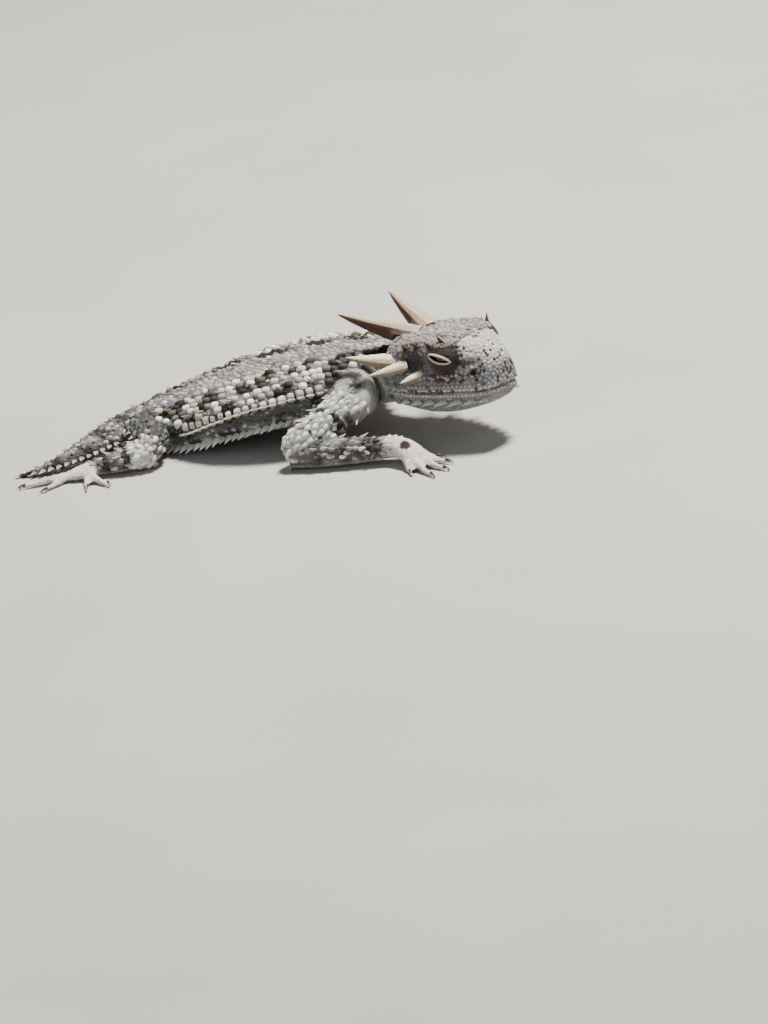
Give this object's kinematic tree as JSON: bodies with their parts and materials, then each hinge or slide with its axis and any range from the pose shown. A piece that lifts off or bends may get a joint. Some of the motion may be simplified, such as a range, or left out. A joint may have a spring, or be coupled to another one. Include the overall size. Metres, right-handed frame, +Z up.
{
  "type": "horned lizard",
  "caption": "Life-size still model of a horned lizard resting low on its belly, chest propped on its forelegs, with head horns and fringed spiny flanks.",
  "frame": {"origin": "on the floor, under the centre of the model's bounding box", "axes": "+X along the body towards the head, +Y to the animal's left, +Z up"},
  "size_m": [0.0916, 0.0618, 0.023],
  "materials": {
    "skin": "matt dry scales, ash grey with charcoal and off-white",
    "limb_skin": "matt dry scales, pale grey barred with charcoal",
    "horn": "satin horn, tan to dark reddish brown",
    "eye": "wet, glossy, near black"
  },
  "bodies": {
    "root": {"eye_left": "eye", "eye_right": "eye", "foot_left": "limb_skin", "foot_right": "limb_skin", "forearm_left": "limb_skin", "forearm_right": "limb_skin", "hand_left": "limb_skin", "hand_right": "limb_skin", "head": "skin", "horn_occipital_left": "horn", "horn_occipital_right": "horn", "horn_temporal_front_left": "horn", "horn_temporal_front_right": "horn", "horn_temporal_middle_left": "horn", "horn_temporal_middle_right": "horn", "horn_temporal_rear_left": "horn", "horn_temporal_rear_right": "horn", "neck": "skin", "shank_left": "limb_skin", "shank_right": "limb_skin", "tail_base": "skin", "tail_tip": "skin", "thigh_left": "limb_skin", "thigh_right": "limb_skin", "torso": "skin", "upper_arm_left": "limb_skin", "upper_arm_right": "limb_skin"}
  },
  "joints": []
}
